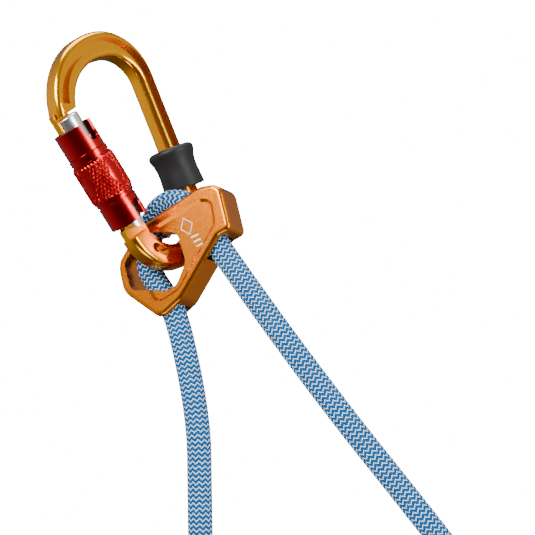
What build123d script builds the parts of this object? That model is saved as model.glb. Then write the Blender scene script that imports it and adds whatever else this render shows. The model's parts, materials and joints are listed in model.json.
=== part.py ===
from build123d import *
import os
from math import cos, pi, radians, sin, tan

# Rope grab on its locking carabiner, with the lanyard rope threaded through it. Millimetres, +Z up.
# Origin: the point inside the carabiner's wide end where the anchor bears.
os.makedirs("parts", exist_ok=True)

# ---------------------------------------------------------------- driving dimensions
# carabiner, in its own plane: x from the gate towards the spine, y along it, z across its thickness
LEAN = 21.7            # the long axis leans left of vertical
TURN = 45.0            # the carabiner's plane is turned about its long axis, spine to the rear
BAR_W = 9.0            # forged section across the plane
BAR_ROUND = 2.6        # rounding of the forged section
SPINE_OUT, SPINE_IN = 26.2, 17.8
TOP_T = 12.0           # section at the wide end
FOOT_Y = -94.2         # outside of the narrow end
FOOT_T = 10.4          # section at the narrow end
WEB_W, WEB_DEPTH = 4.7, 2.2   # recess of the H section, on each face
LEASH_AT = (-8.0, -84.0)

# gate, in its own frame: origin at the hinge pin, y towards the nose, x inwards
GATE_TILT = 13.73
PIN_X, PIN_Y = -14.8, -67.5
GATE_R = 5.6
GATE_TOP = 49.8
EAR_R = 4.4
SLOT_W = 3.6           # in the gate, for the hinge tang and for the nose
TANG_T = 3.2
TANG_TOP = 4.6         # flat on the tang that the plunger rests on
SHOULDER = 7.4         # the bar is full width again this far below the pin
NOSE_T = 3.0
NOSE_GAP = 1.0         # bar end above the gate's head
NOSE_ARC = 45.25       # end of the nose, about the pin, just clear of the sleeve's rim
NOSE_OUT, NOSE_IN = -6.9, 1.4
PIN_R = 1.5
FIT = 0.06             # radial running clearance

# locking sleeve
SLEEVE_LOW, SLEEVE_TOP = -1.2, 44.3
SLEEVE_R = 8.5
STEP_R = 8.7
KNURL_R = 9.05
SKIRT_R = 7.3
LAND_LOW, LAND_HIGH = 28.0, 32.0
NOTCH_W = 8.5
NOTCH_DEEP = 8.5
TAIL_NOTCH_W, TAIL_NOTCH_DEEP = 7.0, 8.0
NOTCH_TURN = -78.0     # of both notches, from the inner side of the gate towards the outer
BUSH_LOW, BUSH_HIGH = 8.6, 12.0
STOP_Y = 29.6

# plunger that shuts the gate
PLUNGER_X = 1.6
PLUNGER_R = 1.5
PLUNGER_TOP = 11.5
BORE_TOP = 22.5

# keeper on the spine
KEEPER_TOP = -45.0
KEEPER_LOW = -63.0

# grab, in its own plane: x right, y up, z out of the front plate
GRAB_NORMAL = (-0.42, -0.894, 0.16)
CROSSING = -99.0       # where the grab hangs on the narrow end
GRAB_T = 16.0
DISH_DEEP, DISH_SLOPE = 1.0, 50.0
RIM_ROUND = 1.9
CHANNEL = 11.0         # between the two plates
CHANNEL_W = 11.6       # room beside the rope
ROPE_D = 10.4

# rope inside the grab: up past the carabiner on one side, over it and down on the other
BIGHT = [(7.2, -35.6), (2.8, -22.9), (-11.4, -6.2), (-11.4, 23.0), (5.2, 23.0), (27.6, -3.6)]
BIGHT_RADII = [52.0, 12.0, 11.0, 11.0]

# free rope outside the grab, by points in the part's frame; each follows the bight's own direction first
LEAD_OUT = 31.0
TAIL = [(45.3, -20.5, -184.0), (46.0, -20.0, -226.0), (46.2, -18.5, -272.0), (47.2, -18.5, -317.0)]
LOAD = [(104.5, -33.0, -148.3), (126.5, -36.0, -175.6), (148.0, -37.5, -203.0)]
SEWN = 32.0            # length of a sewn end
LEG_GAP = 10.8         # between the two legs of a sewn end
EYE_W, EYE_L = 28.8, 46.0
THREAD = 0.8
COVER_T = 0.9


# ---------------------------------------------------------------- frames
def carabiner_plane(x=0.0, y=0.0, turn=0.0):
    """Plane of the carabiner with its origin at a point of it, turned about its normal."""
    lean, yaw = radians(LEAN), radians(TURN)
    across = Vector(cos(yaw) * cos(lean), sin(yaw), cos(yaw) * sin(lean))
    normal = Vector(sin(yaw) * cos(lean), -cos(yaw), sin(yaw) * sin(lean))
    base = Plane(origin=(0, 0, 0), x_dir=across, z_dir=normal)
    turned = base.x_dir * cos(radians(turn)) + base.y_dir * sin(radians(turn))
    return Plane(origin=base.from_local_coords((x, y, 0)), x_dir=turned, z_dir=normal)


CARABINER = carabiner_plane()
GATE = carabiner_plane(PIN_X, PIN_Y, GATE_TILT)


def along_gate(y, turn=0.0):
    """Plane across the gate at height y, its normal along the gate and its x axis inwards."""
    inwards = GATE.x_dir * cos(radians(turn)) - GATE.z_dir * sin(radians(turn))
    return Plane(origin=GATE.from_local_coords((0, y, 0)), x_dir=inwards, z_dir=GATE.y_dir)


foot_centre = (4.0 + 18.45 * cos(radians(CROSSING)), -70.0 + 18.45 * sin(radians(CROSSING)), 0)
grab_z = Vector(*GRAB_NORMAL).normalized()
grab_x = Vector(-grab_z.Y, grab_z.X, 0) * -1
grab_x = grab_x.normalized() if grab_x.X > 0 else (grab_x * -1).normalized()
GRAB = Plane(origin=CARABINER.from_local_coords(foot_centre), x_dir=grab_x, z_dir=grab_z)


def save(part, name):
    part.label = name
    export_step(part, f"parts/{name}.step")
    print(f"{name:18s} {part.volume:10.1f} mm3")


# ---------------------------------------------------------------- carabiner frame
outer_points = [(SPINE_OUT, TOP_T), (-28.0, TOP_T), (-33.0, -22.6), (-15.5, FOOT_Y), (SPINE_OUT, FOOT_Y)]
outer_radii = [23.6, 34.6, 6.0, 23.0, 22.7]
inner_points = [(SPINE_IN, 0), (-17.0, 0), (-22.0, -20.0), (-6.7, FOOT_Y + FOOT_T), (SPINE_IN, FOOT_Y + FOOT_T)]
inner_radii = [14.0, 24.0, 5.0, 13.6, 13.2]
spine_x = (SPINE_OUT + SPINE_IN) / 2
web_points = [(-27.3, -14.5), (-22.2, TOP_T / 2), (spine_x, TOP_T / 2), (spine_x, -73.0)]
web_radii = [26.5, 19.0]


def ring_face(points, radii):
    """A closed outline of straight runs and tangent arcs."""
    with BuildSketch() as face:
        with BuildLine():
            FilletPolyline(*points, radius=radii, close=True)
        make_face()
    return face.sketch


with BuildPart() as carabiner_frame:
    with BuildSketch(CARABINER.offset(-BAR_W / 2)):
        add(ring_face(outer_points, outer_radii))
        add(ring_face(inner_points, inner_radii), mode=Mode.SUBTRACT)
    extrude(amount=BAR_W)
    rims = carabiner_frame.edges().filter_by(lambda edge: abs(CARABINER.to_local_coords(edge.center()).Z) > 1)
    fillet(rims, BAR_ROUND)
    # the recess of the H section, on both faces, round the wide end and down the spine
    for face_side in (1, -1):
        with BuildSketch(CARABINER.offset(face_side * BAR_W / 2)):
            with BuildLine():
                FilletPolyline(*web_points, radius=web_radii)
            trace(line_width=WEB_W)
        extrude(amount=-face_side * WEB_DEPTH, mode=Mode.SUBTRACT)
    # the gap for the gate, between the hinge's shoulder and the end of the bar
    with BuildSketch(GATE.offset(-BAR_W)):
        with Locations((-10, (GATE_TOP + NOSE_GAP - SHOULDER) / 2)):
            Rectangle(50, GATE_TOP + NOSE_GAP + SHOULDER)
    extrude(amount=2 * BAR_W, mode=Mode.SUBTRACT)
    # the nose: a flat blade that reaches into the gate's head
    with BuildSketch(GATE.offset(-NOSE_T / 2)):
        with Locations(((NOSE_OUT + NOSE_IN) / 2, (NOSE_ARC + 53) / 2 - 1)):
            Rectangle(NOSE_IN - NOSE_OUT, 53 - NOSE_ARC + 2)
        Circle(NOSE_ARC, mode=Mode.SUBTRACT)
    extrude(amount=NOSE_T)
    # the hinge tang, its top cut flat for the plunger
    with BuildSketch(GATE.offset(-TANG_T / 2)):
        with BuildLine():
            Polyline((-7.0, -SHOULDER - 1), (5.0, -SHOULDER - 1), (4.6, 1.0), (3.4, TANG_TOP),
                     (-2.4, TANG_TOP), (-4.6, 1.0), (-5.2, -1.9), (-6.9, -2.6), close=True)
        make_face()
        Circle(PIN_R + FIT, mode=Mode.SUBTRACT)
    extrude(amount=TANG_T)
    # the small slot for a leash, through the web beside the hinge
    with BuildSketch(CARABINER.offset(-BAR_W)):
        with Locations(Location((LEASH_AT[0], LEASH_AT[1], 0), (0, 0, -37))):
            SlotOverall(8.5, 4.2)
    extrude(amount=2 * BAR_W, mode=Mode.SUBTRACT)
save(carabiner_frame.part, "carabiner_frame")

# ---------------------------------------------------------------- gate and its works
with BuildPart() as gate:
    with BuildSketch(along_gate(-GATE_R)):
        Circle(GATE_R)
    extrude(amount=GATE_TOP + GATE_R)
    fillet(gate.edges().filter_by(lambda edge: GATE.to_local_coords(edge.center()).Y > GATE_TOP - 1), 1.2)
    # the hinge end, rounded about the pin and narrower than the bar
    with BuildSketch(GATE.offset(-GATE_R)):
        with BuildLine():
            Polyline((-EAR_R, 0), (EAR_R, 0), (GATE_R + 1, 2.2), (GATE_R + 1, 60), (-GATE_R - 1, 60),
                     (-GATE_R - 1, 2.2), close=True)
        make_face()
        Circle(EAR_R)
    extrude(amount=2 * GATE_R, mode=Mode.INTERSECT)
    # fork for the hinge tang and slot for the nose
    with BuildSketch(GATE.offset(-SLOT_W / 2)):
        Rectangle(3 * GATE_R, 14)
        with Locations(((2.5 - 8) / 2, 51)):
            Rectangle(10.5, 12.6)
    extrude(amount=SLOT_W, mode=Mode.SUBTRACT)
    with BuildSketch(GATE.offset(-GATE_R)):
        Circle(PIN_R)
    extrude(amount=2 * GATE_R, mode=Mode.SUBTRACT)
    # bore for the plunger and its spring, hole for the stop pin, groove for the snap ring
    with BuildSketch(Plane(origin=GATE.from_local_coords((PLUNGER_X, 4, 0)), z_dir=GATE.y_dir)):
        Circle(PLUNGER_R + FIT)
    extrude(amount=BORE_TOP - 4, mode=Mode.SUBTRACT)
    with BuildSketch(Plane(origin=GATE.from_local_coords((0, STOP_Y, 0)), z_dir=GATE.z_dir)):
        Circle(0.8)
    extrude(amount=GATE_R + 1, mode=Mode.SUBTRACT)
    with BuildSketch(along_gate(BUSH_HIGH + 0.3)):
        Circle(GATE_R + 1)
        Circle(GATE_R - 0.5, mode=Mode.SUBTRACT)
    extrude(amount=0.9, mode=Mode.SUBTRACT)
save(gate.part, "gate")

with BuildPart() as hinge_rivet:
    with BuildSketch(GATE.offset(-GATE_R + 0.3)):
        Circle(PIN_R)
    extrude(amount=2 * GATE_R - 0.6)
    chamfer(hinge_rivet.edges().filter_by(GeomType.CIRCLE), 0.3)
save(hinge_rivet.part, "hinge_rivet")

plunger_plane = Plane(origin=GATE.from_local_coords((PLUNGER_X, TANG_TOP + 0.05, 0)), z_dir=GATE.y_dir)
with BuildPart() as gate_plunger:
    with BuildSketch(plunger_plane):
        Circle(PLUNGER_R)
    extrude(amount=PLUNGER_TOP - TANG_TOP)
    fillet(gate_plunger.edges().filter_by(GeomType.CIRCLE), 0.7)
save(gate_plunger.part, "gate_plunger")


def coil(plane, radius, wire_r, height, pitch):
    """A round-wire coil spring standing on plane."""
    with BuildPart() as spring:
        with BuildLine():
            helix = Helix(pitch=pitch, height=height, radius=radius)
        with BuildSketch(Plane(origin=helix @ 0, z_dir=helix % 0)):
            Circle(wire_r)
        sweep(path=helix, is_frenet=True)
    return plane.location * spring.part


spring_plane = Plane(origin=GATE.from_local_coords((PLUNGER_X, PLUNGER_TOP + 0.35, 0)), z_dir=GATE.y_dir)
save(coil(spring_plane, 1.05, 0.3, BORE_TOP - PLUNGER_TOP - 1.0, 1.3), "gate_spring")

# ---------------------------------------------------------------- locking sleeve and its works
sleeve_profile = [(SLEEVE_R, SLEEVE_LOW), (SLEEVE_R, 9.0), (SLEEVE_R - 0.4, 9.2), (SLEEVE_R - 0.4, 9.8),
                  (STEP_R, 10.0), (STEP_R, 11.2), (KNURL_R, 11.6), (KNURL_R, 29.1), (STEP_R - 0.4, 29.4),
                  (STEP_R - 0.4, 29.8), (STEP_R, 30.0), (STEP_R, 32.3), (SLEEVE_R - 0.2, 32.5),
                  (SLEEVE_R, 33.0), (SLEEVE_R, SLEEVE_TOP), (SKIRT_R, SLEEVE_TOP), (SKIRT_R, LAND_HIGH),
                  (GATE_R + FIT, LAND_HIGH), (GATE_R + FIT, LAND_LOW), (SKIRT_R, LAND_LOW),
                  (SKIRT_R, SLEEVE_LOW)]
with BuildPart() as lock_sleeve:
    with BuildSketch(GATE):
        with BuildLine():
            Polyline(*sleeve_profile, close=True)
        make_face()
    revolve(axis=Axis(GATE.origin, GATE.y_dir))
    notch_side = along_gate(0, NOTCH_TURN)
    with BuildSketch(Plane(origin=GATE.origin, x_dir=GATE.y_dir, z_dir=notch_side.x_dir)):
        with Locations((SLEEVE_TOP, 0)):
            SlotOverall(2 * NOTCH_DEEP, NOTCH_W)
        with Locations((SLEEVE_LOW, 0)):
            SlotOverall(2 * TAIL_NOTCH_DEEP, TAIL_NOTCH_W)
    extrude(amount=KNURL_R + 2, mode=Mode.SUBTRACT)
    # sector in which the stop pin travels as the sleeve turns
    with BuildSketch(along_gate(LAND_LOW - 0.2)):
        with BuildLine():
            sector = CenterArc((0, 0), SKIRT_R - 0.4, -100, 118)
            Polyline(sector @ 1, (0, 0), sector @ 0)
        make_face()
        Circle(GATE_R - 0.2, mode=Mode.SUBTRACT)
    extrude(amount=3.0, mode=Mode.SUBTRACT)
save(lock_sleeve.part, "lock_sleeve")

with BuildPart() as sleeve_bush:
    with BuildSketch(along_gate(BUSH_LOW)):
        Circle(SKIRT_R)
        Circle(GATE_R + FIT, mode=Mode.SUBTRACT)
    extrude(amount=BUSH_HIGH - BUSH_LOW)
save(sleeve_bush.part, "sleeve_bush")

with BuildPart() as snap_ring:
    with BuildSketch(along_gate(BUSH_HIGH + 0.35)):
        Circle(GATE_R + 1.0)
        Circle(GATE_R - 0.45, mode=Mode.SUBTRACT)
        with Locations((0, GATE_R)):
            Rectangle(4.5, 5, mode=Mode.SUBTRACT)
    extrude(amount=0.8)
save(snap_ring.part, "snap_ring")

with BuildPart() as stop_pin:
    with BuildSketch(Plane(origin=GATE.from_local_coords((0, STOP_Y, 0)), z_dir=GATE.z_dir)):
        Circle(0.8)
    extrude(amount=GATE_R + 1.1)
save(stop_pin.part, "stop_pin")

save(coil(along_gate(14.6), (GATE_R + SKIRT_R) / 2, 0.45, 11.6, 1.45), "sleeve_spring")

# ---------------------------------------------------------------- keeper on the spine
keeper_long = KEEPER_LOW - KEEPER_TOP
keeper_at = carabiner_plane((SPINE_OUT + SPINE_IN) / 2, KEEPER_TOP)
with BuildPart() as spine_keeper:
    with BuildSketch(keeper_at):
        with BuildLine():
            Polyline((0, keeper_long), (0, 0), (8.6, 0))
            Spline((8.6, 0), (10.1, -1.8), (9.4, -4.6), (8.7, -8.5), (8.8, -13.0), (9.1, keeper_long))
            Line((9.1, keeper_long), (0, keeper_long))
        make_face()
    revolve(axis=Axis(keeper_at.origin, keeper_at.y_dir))
    foot = CARABINER.from_local_coords((spine_x, KEEPER_LOW - 1, 0))
    with BuildSketch(Plane(origin=foot, x_dir=CARABINER.x_dir, z_dir=CARABINER.y_dir)):
        RectangleRounded(SPINE_OUT - SPINE_IN + 0.2, BAR_W + 0.2, BAR_ROUND)
    extrude(amount=KEEPER_TOP - KEEPER_LOW + 2, mode=Mode.SUBTRACT)
save(spine_keeper.part, "spine_keeper")

# ---------------------------------------------------------------- grab body
outline_points = [(-22.4, -4.5), (-12.8, 11.2), (13.5, 28.0), (23.2, 29.4), (29.9, 9.9), (24.2, 7.0),
                  (9.5, -19.5), (0.2, -27.9), (-18.4, -16.9)]
outline_radii = [9, 6, 8, 5.5, 3.0, 3.5, 10, 5, 9]
dish_points = [(-10.0, 8.5), (14.5, 22.6), (20.4, 22.6), (22.8, 12.0), (8.0, -16.0), (-2.0, -22.0), (-9.0, -12.0)]
dish_radii = [4, 5, 4, 4, 6, 4, 5]
hole_points = [(-18.9, -4.5), (-10.4, 8.8), (4.6, 8.8), (9.8, -3.5), (5.5, -16.1), (-14.5, -16.1)]
hole_radii = [4.5, 6, 5, 6, 7, 3.5]
rear_points = [(-8.0, 6.0), (-3.0, 15.2), (9.6, 15.2), (9.8, -3.5), (5.5, -16.1), (-8.0, -16.1)]
rear_radii = [3, 4, 5, 6, 7, 3]
with BuildPart() as grab_body:
    with BuildSketch(GRAB.offset(-GRAB_T / 2)):
        add(ring_face(outline_points, outline_radii))
    extrude(amount=GRAB_T)
    faces_out = grab_body.edges().filter_by(lambda edge: abs(GRAB.to_local_coords(edge.center()).Z) > 1)
    fillet(faces_out, RIM_ROUND)
    # the front plate is dished inside a raised rim
    with BuildSketch(GRAB.offset(GRAB_T / 2)):
        add(ring_face(dish_points, dish_radii))
    extrude(amount=-DISH_DEEP, taper=DISH_SLOPE, mode=Mode.SUBTRACT)
    # the ring's opening, taller in the rear plate where the carabiner rises
    with BuildSketch(GRAB.offset(-GRAB_T)):
        add(ring_face(hole_points, hole_radii))
    extrude(amount=2 * GRAB_T, mode=Mode.SUBTRACT)
    with BuildSketch(GRAB):
        add(ring_face(rear_points, rear_radii))
    extrude(amount=-GRAB_T, mode=Mode.SUBTRACT)
    # the way of the rope, between the plates
    with BuildSketch(GRAB.offset(-CHANNEL / 2)):
        with BuildLine():
            FilletPolyline(*BIGHT, radius=BIGHT_RADII)
        trace(line_width=CHANNEL_W)
    extrude(amount=CHANNEL, mode=Mode.SUBTRACT)
save(grab_body.part, "grab_body")


# ---------------------------------------------------------------- rope
def bend_radii(points):
    """Bend at each inner point that uses 0.45 of the shorter run beside it."""
    radii = []
    for before, here, after in zip(points, points[1:], points[2:]):
        run_in = Vector(*here) - Vector(*before)
        run_out = Vector(*after) - Vector(*here)
        half_turn = radians(run_in.get_angle(run_out)) / 2
        radii.append(0.45 * min(run_in.length, run_out.length) / tan(half_turn))
    return radii


def cord(points, radii, name):
    """The round rope along straight runs joined by tangent arcs."""
    with BuildPart() as tube:
        with BuildLine():
            route = FilletPolyline(*points, radius=radii)
        with BuildSketch(Plane(origin=route @ 0, z_dir=route % 0)):
            Circle(ROPE_D / 2)
        sweep(path=route)
    fill = tube.part.volume / (pi * ROPE_D ** 2 / 4 * route.length)
    print(f"{name}: length {route.length:.1f}, radii {[round(radius, 1) for radius in radii]}, volume ratio {fill:.4f}")
    save(tube.part, name)


def sewn_end(end, heading, name, loop_radii, loop_points):
    """A rope end turned back on itself and sewn: the rope, its thread wraps and its cover."""
    across = (Vector(0, -1, 0) - heading * -heading.Y).normalized()
    lay = Plane(origin=end, x_dir=heading.cross(across), z_dir=across)
    cord([lay.from_local_coords((x, y, 0)) for x, y in loop_points], loop_radii, name)
    return lay


def thread_wraps(lay, name):
    """Turns of thread round both legs."""
    with BuildPart() as wraps:
        for turn in range(7):
            start = Plane(origin=lay.from_local_coords((LEG_GAP / 2, 6.0 + 3.2 * turn, 0)),
                          x_dir=lay.x_dir, z_dir=lay.y_dir)
            with BuildSketch(start):
                SlotCenterToCenter(LEG_GAP, ROPE_D + 2 * THREAD)
                SlotCenterToCenter(LEG_GAP, ROPE_D + 0.04, mode=Mode.SUBTRACT)
            extrude(amount=1.4)
    save(wraps.part, name)


def end_cover(lay, name):
    """Tough sleeve over the sewn legs."""
    with BuildPart() as cover:
        start = Plane(origin=lay.from_local_coords((LEG_GAP / 2, 3.0, 0)), x_dir=lay.x_dir, z_dir=lay.y_dir)
        with BuildSketch(start):
            SlotCenterToCenter(LEG_GAP, ROPE_D + 2 * THREAD + 2 * COVER_T + 0.1)
            SlotCenterToCenter(LEG_GAP, ROPE_D + 2 * THREAD + 0.1, mode=Mode.SUBTRACT)
        extrude(amount=SEWN - 6)
        fillet(cover.edges().filter_by(lambda edge: abs(start.to_local_coords(edge.center()).Z - 13) > 12), 0.3)
    save(cover.part, name)


bight_points = [GRAB.from_local_coords((x, y, 0)) for x, y in BIGHT]
cord(bight_points, BIGHT_RADII, "rope_bight")

tail_start = bight_points[0]
tail_points = [tail_start, tail_start + (bight_points[0] - bight_points[1]).normalized() * LEAD_OUT] + TAIL
cord(tail_points, bend_radii(tail_points), "rope_tail_strand")
load_start = bight_points[-1]
load_points = [load_start, load_start + (bight_points[-1] - bight_points[-2]).normalized() * LEAD_OUT] + LOAD
cord(load_points, bend_radii(load_points), "rope_load_strand")

eye_in = (EYE_W - LEG_GAP) / 2
eye_points = [(0, 0), (0, SEWN + 3), (-eye_in, SEWN + 16), (-eye_in, SEWN + EYE_L),
              (LEG_GAP + eye_in, SEWN + EYE_L), (LEG_GAP + eye_in, SEWN + 16), (LEG_GAP, SEWN + 3), (LEG_GAP, 1)]
load_heading = (Vector(*load_points[-1]) - Vector(*load_points[-2])).normalized()
load_lay = sewn_end(load_points[-1], load_heading, "load_eye", [15, 15, 14.3, 14.3, 15, 15], eye_points)
thread_wraps(load_lay, "eye_stitching")
end_cover(load_lay, "eye_cover")

fold_points = [(0, 0), (0, SEWN + 6), (LEG_GAP, SEWN + 6), (LEG_GAP, 1)]
tail_heading = (Vector(*tail_points[-1]) - Vector(*tail_points[-2])).normalized()
tail_lay = sewn_end(tail_points[-1], tail_heading, "tail_fold", [5.39, 5.39], fold_points)
thread_wraps(tail_lay, "tail_stitching")
end_cover(tail_lay, "tail_cover")
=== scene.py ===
import json
import math

import bpy
import numpy as np
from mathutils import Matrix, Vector


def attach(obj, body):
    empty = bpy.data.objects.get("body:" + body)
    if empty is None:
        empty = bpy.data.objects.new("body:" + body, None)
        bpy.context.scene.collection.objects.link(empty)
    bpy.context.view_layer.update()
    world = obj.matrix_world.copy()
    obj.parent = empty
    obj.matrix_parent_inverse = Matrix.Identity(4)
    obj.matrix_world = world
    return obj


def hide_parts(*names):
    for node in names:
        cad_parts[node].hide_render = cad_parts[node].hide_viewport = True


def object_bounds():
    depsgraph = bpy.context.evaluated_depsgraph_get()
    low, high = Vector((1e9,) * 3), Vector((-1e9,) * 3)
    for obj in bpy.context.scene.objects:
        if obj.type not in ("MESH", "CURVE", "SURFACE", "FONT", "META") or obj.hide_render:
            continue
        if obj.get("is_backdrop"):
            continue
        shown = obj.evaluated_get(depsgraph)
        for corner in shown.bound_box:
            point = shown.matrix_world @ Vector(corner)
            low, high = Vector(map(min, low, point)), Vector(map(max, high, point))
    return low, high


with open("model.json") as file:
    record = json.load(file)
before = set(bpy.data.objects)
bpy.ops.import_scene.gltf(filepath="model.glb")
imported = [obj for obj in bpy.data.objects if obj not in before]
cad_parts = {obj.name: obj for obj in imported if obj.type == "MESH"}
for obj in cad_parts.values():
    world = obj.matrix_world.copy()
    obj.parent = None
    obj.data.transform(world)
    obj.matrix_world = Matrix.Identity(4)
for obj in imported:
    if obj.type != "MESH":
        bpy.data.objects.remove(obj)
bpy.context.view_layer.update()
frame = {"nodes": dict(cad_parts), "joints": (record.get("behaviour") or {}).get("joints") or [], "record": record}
MM = 0.001
joints = {joint["name"]: joint for joint in frame["joints"]}

# ---------------------------------------------------------------- sizes, in millimetres
ROPE_D = 10.4
RELIEF = 0.26          # height of a yarn of the sheath
CARRIERS = 24          # yarns laid each way round the sheath
LAY = 1.05             # length along the rope that one yarn takes up
WEAVE, OVER = 4, 1.5   # the weave repeats after four yarns; one way lies on top below this count
AROUND, ALONG = 144, 0.30  # mesh of the sheath: points round it, step along it

KNURL_LOW, KNURL_HIGH = 12.2, 28.6   # along the gate, from the hinge pin
KNURL_R, KNURL_RISE = 9.06, 0.42     # foot and height of the teeth
KNURL_LIFT = 0.02      # of the whole band, off the sleeve
KNURL_TEETH, KNURL_PITCH = 34, 1.55
KNURL_STEPS = 10       # mesh steps to a tooth
FLANK = 1.5            # steepness of a tooth, its top cut flat
FACETS, FACET_W, FACET_L = 4, 3.4, 9.6   # plain lozenges, by half width and half length
FACET_EDGE, FACET_FADE = 0.92, 12        # where the teeth begin beside one, and how soon
END_FADE = 24          # how soon the teeth begin at the ends of the band
DISH_FLOOR = 7.0       # of the front plate, from the grab's middle plane

# Control points of the rope's lines. BIGHT is inside the grab, in its own plane, and has two points for each
# bend of the part's rope. TAIL and LOAD are outside it, in the row frame, and are the part's own points.
BIGHT = [(7.2, -35.6), (4.4, -27.6), (-0.4, -19.1), (-9.9, -7.9), (-11.4, -3.9), (-11.4, 16.6), (-5.0, 23.0),
         (2.5, 23.0), (6.9, 20.9), (27.6, -3.6)]
LEAD_OUT = 31.0
TAIL = [(45.3, -20.5, -184.0), (46.0, -20.0, -226.0), (46.2, -18.5, -272.0), (47.2, -18.5, -317.0)]
LOAD = [(104.5, -33.0, -148.3), (126.5, -36.0, -175.6), (148.0, -37.5, -203.0)]
SEWN, LEG_GAP, EYE_W, EYE_L = 32.0, 10.8, 28.8, 46.0
EYE_BENDS = (-6.0, 3.0, 16.0)    # control points of the eye's opening, from the end of its seam
FOLD_BENDS = (-2.1, 4.1, 7.2)    # those of the stopper's fold, from the same place
LINE_STEPS = 48        # points read from a line, for each run between two control points


# ---------------------------------------------------------------- routes
def smooth(points):
    """Points of the NURBS line that has the given points as its control points."""
    curve = bpy.data.curves.new("line", "CURVE")
    curve.dimensions = "3D"
    curve.resolution_u = LINE_STEPS
    spline = curve.splines.new("NURBS")
    spline.points.add(len(points) - 1)
    for control, point in zip(spline.points, points):
        control.co = (*point, 1)
    spline.order_u = 3
    spline.use_endpoint_u = True
    holder = bpy.data.objects.new("line", curve)
    mesh = bpy.data.meshes.new_from_object(holder)
    route = [vertex.co.copy() for vertex in mesh.vertices]
    bpy.data.objects.remove(holder)
    bpy.data.meshes.remove(mesh)
    bpy.data.curves.remove(curve)
    return route


def even(route, step):
    """The same route with its points step apart."""
    flat = np.array([list(point) for point in route])
    gaps = np.linalg.norm(np.diff(flat, axis=0), axis=1)
    keep = np.concatenate([[True], gaps > 1e-6])
    flat, gaps = flat[keep], gaps[gaps > 1e-6]
    at = np.concatenate([[0], np.cumsum(gaps)])
    wanted = np.linspace(0, at[-1], max(2, int(round(at[-1] / step)) + 1))
    return np.stack([np.interp(wanted, at, flat[:, k]) for k in range(3)], axis=1)


def sewn_plane(end, heading):
    """Places in the plane of a sewn end: x across its legs, y along them."""
    out = (Vector((0, -1, 0)) + heading * heading.y).normalized()
    return lambda x, y: end + heading.cross(out) * x + heading * y


swivel = joints["grab_swivel"]
grab_centre = Vector(swivel["pos_m"]) / MM
grab_z = Vector(swivel["axis"]).normalized()
grab_x = Vector((-grab_z.y, grab_z.x, 0)).normalized()
grab_y = grab_z.cross(grab_x)


def on_grab(x, y, z=0.0):
    """A point of the grab's plane, in the row frame."""
    return grab_centre + grab_x * x + grab_y * y + grab_z * z


def strand(before, start, points):
    """Control points of a free strand, which first goes on straight out of the grab."""
    return [start, start + (start - before).normalized() * LEAD_OUT] + [Vector(point) for point in points]


bight_points = [on_grab(x, y) for x, y in BIGHT]
tail_points = strand(bight_points[1], bight_points[0], TAIL)
load_points = strand(bight_points[-2], bight_points[-1], LOAD)
fold_at = sewn_plane(tail_points[-1], (tail_points[-1] - tail_points[-2]).normalized())
eye_at = sewn_plane(load_points[-1], (load_points[-1] - load_points[-2]).normalized())
eye_in = (EYE_W - LEG_GAP) / 2
low, middle, high = (SEWN + bend for bend in EYE_BENDS)
eye_outline = [(0, 0), (0, low), (0, middle), (-eye_in, high), (-eye_in, SEWN + EYE_L),
               (LEG_GAP + eye_in, SEWN + EYE_L), (LEG_GAP + eye_in, high), (LEG_GAP, middle), (LEG_GAP, low),
               (LEG_GAP, 1)]
low, middle, high = (SEWN + bend for bend in FOLD_BENDS)
fold_outline = [(0, 0), (0, low), (0, middle), (LEG_GAP / 2, high), (LEG_GAP, middle), (LEG_GAP, low),
                (LEG_GAP, 1)]
routes = {
    "rope_stopper": smooth([fold_at(x, y) for x, y in fold_outline])[::-1],
    "rope_hanging": smooth(tail_points)[::-1],
    "rope_in_grab": smooth(bight_points),
    "rope_taut": smooth(load_points),
    "rope_eye": smooth([eye_at(x, y) for x, y in eye_outline]),
}


# ---------------------------------------------------------------- rope sheath
def add_object(name, data):
    """A new object in the scene."""
    made = bpy.data.objects.new(name, data)
    bpy.context.collection.objects.link(made)
    return made


def tube_faces(rows, columns):
    """Quads of a tube of rows rings, and each quad's row and column."""
    row, column = np.meshgrid(np.arange(rows - 1), np.arange(columns), indexing="ij")
    after = (column + 1) % columns
    quads = np.stack([row * columns + column, row * columns + after,
                      (row + 1) * columns + after, (row + 1) * columns + column], axis=-1).reshape(-1, 4)
    return quads, row, column


def directions(centres):
    """Unit tangents of a line of points."""
    tangents = np.gradient(centres, axis=0)
    return tangents / np.linalg.norm(tangents, axis=1)[:, None]


def braid(around, along):
    """Height of the braid's surface, 0 to 1, where each yarn passes over two and under two."""
    one_way = CARRIERS * around + along / LAY
    other_way = along / LAY - CARRIERS * around
    over = np.mod(np.floor(one_way) - np.floor(other_way), WEAVE) < OVER
    across = np.where(over, np.mod(one_way, 1), np.mod(other_way, 1))
    return 1 - (2 * across - 1) ** 2


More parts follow.
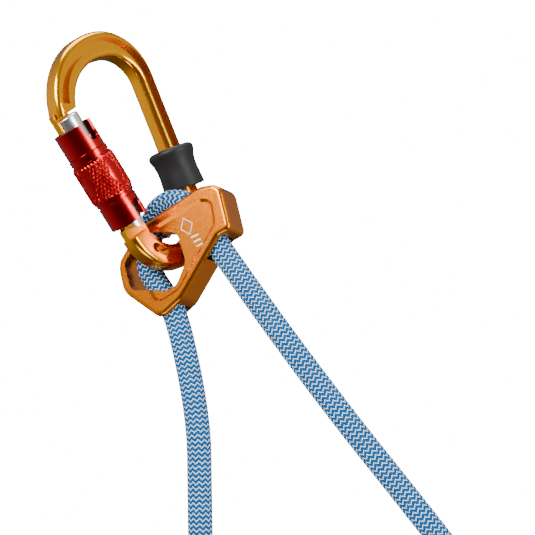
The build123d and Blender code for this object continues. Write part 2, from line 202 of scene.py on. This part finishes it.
def sheath(name, centres, ups, start, cap_start, cap_end):
    """A braided tube along centres, the braid's phase starting at start; also gives the phase at its end."""
    sides = np.cross(directions(centres), ups)
    along = start + np.concatenate([[0], np.cumsum(np.linalg.norm(np.diff(centres, axis=0), axis=1))])
    turn = np.linspace(0, 1, AROUND + 1)[:-1]
    height = braid(turn[None, :], along[:, None])
    radius = ROPE_D / 2 - RELIEF * (1 - np.sqrt(np.clip(height, 0, 1)))
    ring = (np.cos(2 * math.pi * turn)[None, :, None] * ups[:, None, :]
            + np.sin(2 * math.pi * turn)[None, :, None] * sides[:, None, :])
    points = (centres[:, None, :] + ring * radius[:, :, None]).reshape(-1, 3) * MM
    rows, columns = len(centres), AROUND
    quads, row, column = tube_faces(rows, columns)
    face_list = quads.tolist()
    coordinates = np.stack([
        np.stack([column, column + 1, column + 1, column], axis=-1).reshape(-1) / columns,
        np.stack([along[row], along[row], along[row + 1], along[row + 1]], axis=-1).reshape(-1),
    ], axis=-1).reshape(-1).tolist()
    first_ring, last_ring = list(range(columns)), list(range((rows - 1) * columns, rows * columns))
    if cap_start:
        face_list.append(first_ring[::-1])
        coordinates += [0.0, along[0]] * columns
    if cap_end:
        face_list.append(last_ring)
        coordinates += [0.0, along[-1]] * columns
    mesh = bpy.data.meshes.new(name)
    mesh.from_pydata(points.tolist(), [], face_list)
    mesh.uv_layers.new(name="braid").data.foreach_set("uv", coordinates)
    mesh.polygons.foreach_set("use_smooth", [True] * len(mesh.polygons))
    mesh.update()
    return add_object(name, mesh), along[-1]


def transported(centres, first):
    """Directions across the route that turn with it and don't twist."""
    tangents = directions(centres)
    ups = np.zeros_like(centres)
    ups[0] = first - tangents[0] * np.dot(first, tangents[0])
    ups[0] /= np.linalg.norm(ups[0])
    for k in range(1, len(centres)):
        ups[k] = ups[k - 1] - tangents[k] * np.dot(ups[k - 1], tangents[k])
        ups[k] /= np.linalg.norm(ups[k])
    return ups


rope = {}
phase = 0.0
up = np.array([0.0, -1.0, 0.2])  # roughly towards the viewer, where the sheath's first point lies
for name, route in routes.items():
    centres = even(route, ALONG)
    ups = transported(centres, up)
    rope[name], phase = sheath(name, centres, ups, phase, name == "rope_stopper", name == "rope_eye")
    up = ups[-1]

# ---------------------------------------------------------------- knurling of the locking sleeve
twist = joints["sleeve_twist"]
pin = Vector(twist["pos_m"]) / MM
gate_y = -Vector(twist["axis"]).normalized()
gate_z = -Vector(joints["gate_hinge"]["axis"]).normalized()
gate_x = gate_y.cross(gate_z)

# diamond teeth round the sleeve, with smooth lozenges left plain between them
rows = int((KNURL_HIGH - KNURL_LOW) / KNURL_PITCH * KNURL_STEPS) + 1
columns = KNURL_TEETH * KNURL_STEPS
level, azimuth = np.meshgrid(np.linspace(0, 1, rows), np.arange(columns) / columns, indexing="ij")
height = KNURL_LOW + level * (KNURL_HIGH - KNURL_LOW)
teeth_one = np.abs(np.mod(azimuth * KNURL_TEETH + height / KNURL_PITCH / 2, 1) * 2 - 1)
teeth_other = np.abs(np.mod(azimuth * KNURL_TEETH - height / KNURL_PITCH / 2, 1) * 2 - 1)
teeth = np.clip(np.minimum(teeth_one, teeth_other) * FLANK, 0, 1)
from_facet = np.abs(np.mod(azimuth * FACETS + 0.5, 1) - 0.5) * 2 * math.pi * KNURL_R / FACETS
facet = from_facet / FACET_W + np.abs(height - (KNURL_LOW + KNURL_HIGH) / 2) / FACET_L
beside_facets = np.clip((facet - FACET_EDGE) * FACET_FADE, 0, 1)
off_ends = np.clip(np.minimum(level, 1 - level) * END_FADE, 0, 1)
radius = KNURL_R + KNURL_LIFT + KNURL_RISE * teeth * beside_facets * off_ends
placed = (np.array(pin)[None, None, :] + height[..., None] * np.array(gate_y)
          + (radius * np.cos(2 * math.pi * azimuth))[..., None] * np.array(gate_x)
          + (radius * np.sin(2 * math.pi * azimuth))[..., None] * np.array(gate_z))
quads = tube_faces(rows, columns)[0][:, [0, 3, 2, 1]]  # turned over, as azimuth runs the other way
mesh = bpy.data.meshes.new("sleeve_knurl")
mesh.from_pydata((placed.reshape(-1, 3) * MM).tolist(), [], quads.tolist())
knurl = add_object("sleeve_knurl", mesh)


# ---------------------------------------------------------------- mark on the front plate
def line_mark(name, strokes, width):
    """A thin raised line drawing on the grab's front plate."""
    curve = bpy.data.curves.new(name, "CURVE")
    curve.dimensions = "3D"
    curve.bevel_depth = width * MM / 2
    curve.bevel_resolution = 2
    for points, closed in strokes:
        spline = curve.splines.new("POLY")
        spline.points.add(len(points) - 1)
        for point, (x, y) in zip(spline.points, points):
            point.co = (*(on_grab(x, y, DISH_FLOOR) * MM), 1)
        spline.use_cyclic_u = closed
    return add_object(name, curve)


# a plain rhomb with three short bars under it
rhomb = [(7.2, 14.6), (11.6, 12.6), (11.0, 7.8), (6.6, 9.8)]
bars = [[(11.6 + 1.5 * k, 6.4 - 1.9 * k), (15.0 + 1.1 * k, 7.8 - 1.9 * k)] for k in range(3)]
mark_lines = line_mark("mark_rhomb", [(rhomb, True)], 0.42)
mark_bars = line_mark("mark_bars", [(bar, False) for bar in bars], 0.7)


# ---------------------------------------------------------------- materials
class Tree:
    """Short calls for building a node tree."""

    def __init__(self, tree):
        self.tree = tree

    def node(self, kind, inputs=(), **settings):
        made = self.tree.nodes.new(kind)
        for key, value in settings.items():
            setattr(made, key, value)
        for key, value in dict(inputs).items():
            self.feed(made.inputs[key], value)
        return made

    def feed(self, socket, value):
        if isinstance(value, bpy.types.NodeSocket):
            self.tree.links.new(value, socket)
        else:
            socket.default_value = value

    def sum(self, operation, *values):
        return self.node("ShaderNodeMath", dict(enumerate(values)), operation=operation).outputs[0]


class Material(Tree):
    """A material with one Principled shader."""

    def __init__(self, name):
        self.material = bpy.data.materials.new(name)
        self.material.use_nodes = True
        super().__init__(self.material.node_tree)
        self.shader = self.tree.nodes["Principled BSDF"]

    def mix(self, share, first, second):
        made = self.node("ShaderNodeMix", data_type="RGBA")
        for key, value in (("Factor_Float", share), ("A_Color", first), ("B_Color", second)):
            socket = next(entry for entry in made.inputs if entry.identifier == key)
            self.feed(socket, value)
        return next(entry for entry in made.outputs if entry.identifier == "Result_Color")

    def noise(self, scale, detail, stretch=None):
        place = self.node("ShaderNodeTexCoord").outputs["Object"]
        if stretch:
            place = self.node("ShaderNodeMapping", {"Vector": place, "Scale": stretch}).outputs[0]
        made = self.node("ShaderNodeTexNoise", {"Vector": place, "Scale": scale, "Detail": detail})
        return made.outputs["Fac"]

    def ramp(self, value, low, high, start=0.0, end=1.0):
        """low where value is start, high where it is end, and even between them."""
        made = self.node("ShaderNodeMapRange", {"Value": value, "From Min": start, "From Max": end,
                                                "To Min": low, "To Max": high})
        return made.outputs["Result"]

    def bump(self, height, distance, strength):
        made = self.node("ShaderNodeBump", {"Height": height, "Distance": distance, "Strength": strength})
        self.feed(self.shader.inputs["Normal"], made.outputs["Normal"])

    def set(self, **values):
        for key, value in values.items():
            self.feed(self.shader.inputs[key.replace("_", " ")], value)
        return self.material


def anodised(name, bright, deep, rough):
    """Dyed anodised aluminium: fine bead-blasted grain, the dye a little uneven."""
    nodes = Material(name)
    cloud = nodes.noise(60.0, 3.0)
    grain = nodes.noise(5200.0, 2.0)
    colour = nodes.mix(nodes.ramp(cloud, 0.0, 0.45, 0.35, 0.7), (*bright, 1), (*deep, 1))
    nodes.bump(grain, 0.00004, 0.35)
    return nodes.set(Base_Color=colour, Metallic=1.0, Roughness=nodes.ramp(grain, rough - 0.05, rough + 0.07),
                     Coat_Weight=0.05, Coat_Roughness=0.12)


def steel(name, colour, rough):
    """Bright turned metal with fine tool lines."""
    nodes = Material(name)
    lines = nodes.noise(900.0, 3.0, (1.0, 1.0, 9.0))
    nodes.bump(lines, 0.00002, 0.25)
    return nodes.set(Base_Color=(*colour, 1), Metallic=1.0,
                     Roughness=nodes.ramp(lines, rough - 0.06, rough + 0.08))


def moulded(name, colour, rough, grain_size, dust):
    """Rubber or plastic with a fine mould texture and a little dust."""
    nodes = Material(name)
    grain = nodes.noise(grain_size, 5.0)
    soft = nodes.noise(70.0, 3.0)
    dusty = [channel * 1.6 + 0.008 for channel in colour]
    shade = nodes.mix(nodes.ramp(soft, 0.0, dust, 0.4, 0.75), (*colour, 1), (*dusty, 1))
    nodes.bump(grain, 0.00008, 0.5)
    return nodes.set(Base_Color=shade, Roughness=nodes.ramp(grain, rough - 0.08, rough + 0.08),
                     Specular_IOR_Level=0.3)


LIGHT_CROWN = 0.84     # a light yarn shows only where its crown is higher than this
FIBRE_SHADE = (0.0, 0.03, 0.09, 1)
# painted shade, laid into the hollows between the yarns of the sheath
HOLLOW_PAINTED_SHADE = (0.004, 0.04, 0.11, 1)


def sheath_cloth(name, light, blue, dark):
    """Braided yarns, as braid() has them: blue and light in turn, the light ones narrower, with fibres, and
    painted shade in the hollows between the yarns.
    """
    nodes = Material(name)
    sheath_map = nodes.node("ShaderNodeUVMap", uv_map="braid").outputs[0]
    spot = nodes.node("ShaderNodeSeparateXYZ", {"Vector": sheath_map})
    turns = nodes.sum("MULTIPLY", spot.outputs[0], float(CARRIERS))
    length = nodes.sum("DIVIDE", spot.outputs[1], LAY)
    one_way = nodes.sum("ADD", length, turns)
    other_way = nodes.sum("SUBTRACT", length, turns)
    steps = nodes.sum("SUBTRACT", nodes.sum("FLOOR", one_way), nodes.sum("FLOOR", other_way))
    over = nodes.sum("LESS_THAN", nodes.sum("FLOORED_MODULO", steps, float(WEAVE)), OVER)
    chosen = nodes.sum("ADD", nodes.sum("MULTIPLY", one_way, over),
                       nodes.sum("MULTIPLY", other_way, nodes.sum("SUBTRACT", 1.0, over)))
    yarn = nodes.sum("FLOOR", chosen)
    across = nodes.sum("FRACT", chosen)
    off_middle = nodes.sum("ABSOLUTE", nodes.sum("SUBTRACT", nodes.sum("MULTIPLY", across, 2.0), 1.0))
    crown = nodes.sum("SUBTRACT", 1.0, nodes.sum("POWER", off_middle, 2.0))
    every_other = nodes.sum("LESS_THAN", nodes.sum("FLOORED_MODULO", yarn, 2.0), 0.5)
    beside_light = nodes.sum("LESS_THAN", crown, LIGHT_CROWN)
    is_blue = nodes.sum("MAXIMUM", every_other, beside_light)
    colour = nodes.mix(is_blue, (*light, 1), nodes.mix(nodes.noise(700.0, 2.0), (*blue, 1), (*dark, 1)))
    fibres = nodes.noise(2600.0, 3.0)
    colour = nodes.mix(nodes.ramp(fibres, 0.25, 0.0, 0.35, 0.65), colour, FIBRE_SHADE)
    # painted shade: darkest where a yarn's crown is low, at its edges in the hollows of the braid
    with_painted_shade = nodes.mix(nodes.ramp(crown, 0.75, 0.0, 0.0, 0.45), colour, HOLLOW_PAINTED_SHADE)
    nodes.bump(nodes.sum("ADD", crown, nodes.sum("MULTIPLY", fibres, 0.4)), 0.00022, 0.6)
    return nodes.set(Base_Color=with_painted_shade, Roughness=0.78, Specular_IOR_Level=0.2)


looks = {
    "gold_anodised": anodised("gold_anodised", (1.0, 0.40, 0.0), (0.98, 0.36, 0.0), 0.15),
    "orange_anodised": anodised("orange_anodised", (0.84, 0.22, 0.0), (0.78, 0.18, 0.0), 0.22),
    "red_anodised": anodised("red_anodised", (0.62, 0.012, 0.016), (0.46, 0.006, 0.010), 0.20),
    "silver_anodised": steel("silver_anodised", (0.86, 0.87, 0.88), 0.24),
    "steel": steel("steel", (0.72, 0.73, 0.75), 0.22),
    "bush_plastic": moulded("bush_plastic", (0.03, 0.03, 0.035), 0.5, 2500.0, 0.3),
    "grey_rubber": moulded("grey_rubber", (0.006, 0.006, 0.007), 0.52, 1800.0, 0.35),
    "cover_plastic": moulded("cover_plastic", (0.02, 0.02, 0.022), 0.36, 1400.0, 0.25),
    "thread": moulded("thread", (0.75, 0.75, 0.72), 0.7, 2600.0, 0.2),
    "rope_sheath": sheath_cloth("rope_sheath", (0.74, 0.92, 1.0), (0.0, 0.095, 0.31), (0.0, 0.030, 0.12)),
}
mark_white = moulded("mark_white", (0.86, 0.84, 0.80), 0.5, 2000.0, 0.1)


def dress(obj, material):
    """Give the object this material alone."""
    obj.data.materials.clear()
    obj.data.materials.append(material)


slots = {entry["node"]: entry["material_slot"] for entry in frame["record"]["subparts"]}
for node, obj in frame["nodes"].items():
    for holder in obj.material_slots:
        holder.material = looks[slots[node]]

stands_for = {"rope_stopper": "tail_fold", "rope_hanging": "rope_tail_strand", "rope_in_grab": "rope_bight",
              "rope_taut": "rope_load_strand", "rope_eye": "load_eye"}
for name, node in stands_for.items():
    dress(rope[name], looks["rope_sheath"])
    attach(rope[name], "grab")
    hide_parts(node)
dress(knurl, looks["red_anodised"])
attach(knurl, "sleeve")
for mark in (mark_lines, mark_bars):
    dress(mark, mark_white)
    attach(mark, "grab")


# ---------------------------------------------------------------- stage, lights and camera
centre = Vector((0.0731, 0.0, -0.0867))  # middle of the picture, in metres
CAMERA_AWAY = 0.9
SENSOR, LENS = 36.0, 144.0
FLOOR_Z = -0.42        # below the hanging end of the rope, and below the camera's view
FLOOR_CORNERS = ((-4.0, -4.0), (4.0, -4.0), (4.0, 1.4), (-4.0, 1.4))
SEEN_WHITE = 25.0      # brightness of the world where the camera sees it
SIDE_BOXES = 0.85      # brightness of the world to the left and right
SIDE_SHARPNESS = 3.0   # how soon that falls off
TOP_BOX, GAPS = 0.35, 0.13  # brightness overhead, and in the gaps

floor_mesh = bpy.data.meshes.new("floor")
floor_mesh.from_pydata([(x, y, FLOOR_Z) for x, y in FLOOR_CORNERS], [], [(0, 1, 2, 3)])
floor = add_object("floor", floor_mesh)
paper = Material("floor_paper")
dress(floor, paper.set(Base_Color=(0.92, 0.92, 0.92, 1), Roughness=0.9, Emission_Color=(1, 1, 1, 1),
                       Emission_Strength=0.35))
floor.visible_glossy = False
floor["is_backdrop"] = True


def area_light(name, place, size, power):
    """A soft light aimed at the middle of the object."""
    data = bpy.data.lights.new(name, "AREA")
    data.shape = "RECTANGLE"
    data.size, data.size_y = size
    data.energy = power
    light = add_object(name, data)
    light.location = place
    light.rotation_euler = (centre - Vector(place)).to_track_quat("-Z", "Y").to_euler()


area_light("key", (-0.55, -0.75, 0.65), (0.5, 0.5), 24.0)
area_light("fill", (0.75, -0.6, 0.1), (0.22, 0.9), 10.0)
area_light("top", (0.05, 0.1, 0.8), (0.8, 0.40), 7.0)
area_light("low", (0.0, -0.5, -0.8), (0.6, 0.3), 2.0)

world = bpy.data.worlds.new("studio")
world.use_nodes = True
# wide soft boxes to the left and right and a dimmer one overhead, with dark gaps between them
studio = Tree(world.node_tree)
sky = studio.tree.nodes["Background"]
sky.inputs["Color"].default_value = (0.80, 0.80, 0.80, 1)
parts = studio.node("ShaderNodeSeparateXYZ", {0: studio.node("ShaderNodeTexCoord").outputs["Generated"]})
sideways = studio.sum("POWER", studio.sum("ABSOLUTE", parts.outputs["X"]), SIDE_SHARPNESS)
upwards = studio.sum("MAXIMUM", parts.outputs["Z"], 0.0)
boxes = studio.sum("ADD", studio.sum("MULTIPLY", sideways, SIDE_BOXES),
                   studio.sum("MULTIPLY", upwards, TOP_BOX))
seen = studio.sum("MULTIPLY", studio.node("ShaderNodeLightPath").outputs["Is Camera Ray"], SEEN_WHITE)
studio.feed(sky.inputs["Strength"], studio.sum("MAXIMUM", studio.sum("ADD", boxes, GAPS), seen))
bpy.context.scene.world = world

camera_data = bpy.data.cameras.new("camera")
camera_data.sensor_width = SENSOR
camera_data.lens = LENS
camera = add_object("camera", camera_data)
camera.location = centre + Vector((0, -CAMERA_AWAY, 0))
camera.rotation_euler = (math.radians(90), 0, 0)
bpy.context.scene.camera = camera

low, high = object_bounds()
